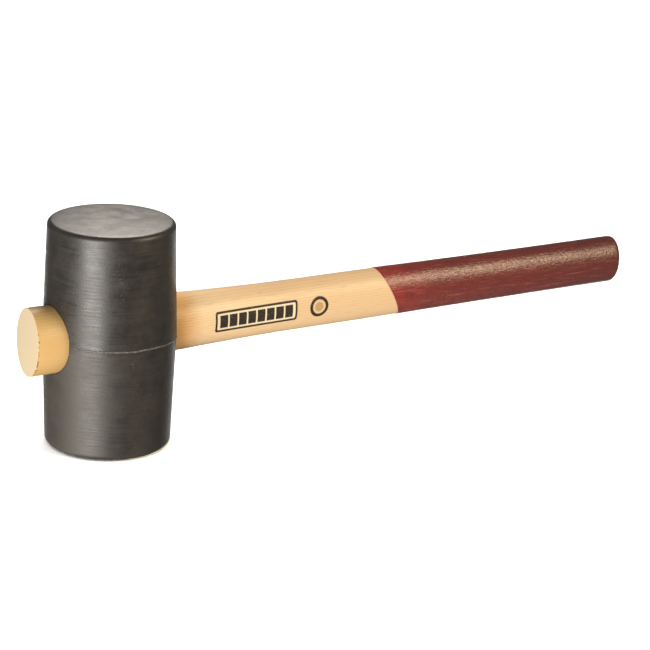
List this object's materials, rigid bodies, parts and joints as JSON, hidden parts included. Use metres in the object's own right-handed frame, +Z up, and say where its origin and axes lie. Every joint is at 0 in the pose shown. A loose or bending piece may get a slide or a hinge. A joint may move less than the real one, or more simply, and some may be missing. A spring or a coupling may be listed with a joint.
{
  "type": "rubber mallet",
  "caption": "Mallet with a cylindrical black rubber head on a tapered oval ash handle whose thick end stands out of the head, the grip dipped in dark red lacquer.",
  "frame": {"origin": "centre of the head's lower striking face", "axes": "+Z up the head's axis to the upper striking face; +X along the handle from the head to the grip; +Y across the handle's narrow side"},
  "size_m": [0.3547, 0.0656, 0.1125],
  "materials": {
    "head_rubber": "moulded, satin",
    "handle_ash": "turned and clear varnished",
    "grip_lacquer": "dipped lacquer, semi-gloss"
  },
  "bodies": {
    "root": {"rubber_head": "head_rubber", "ash_handle": "handle_ash", "red_grip_coat": "grip_lacquer"}
  },
  "joints": []
}
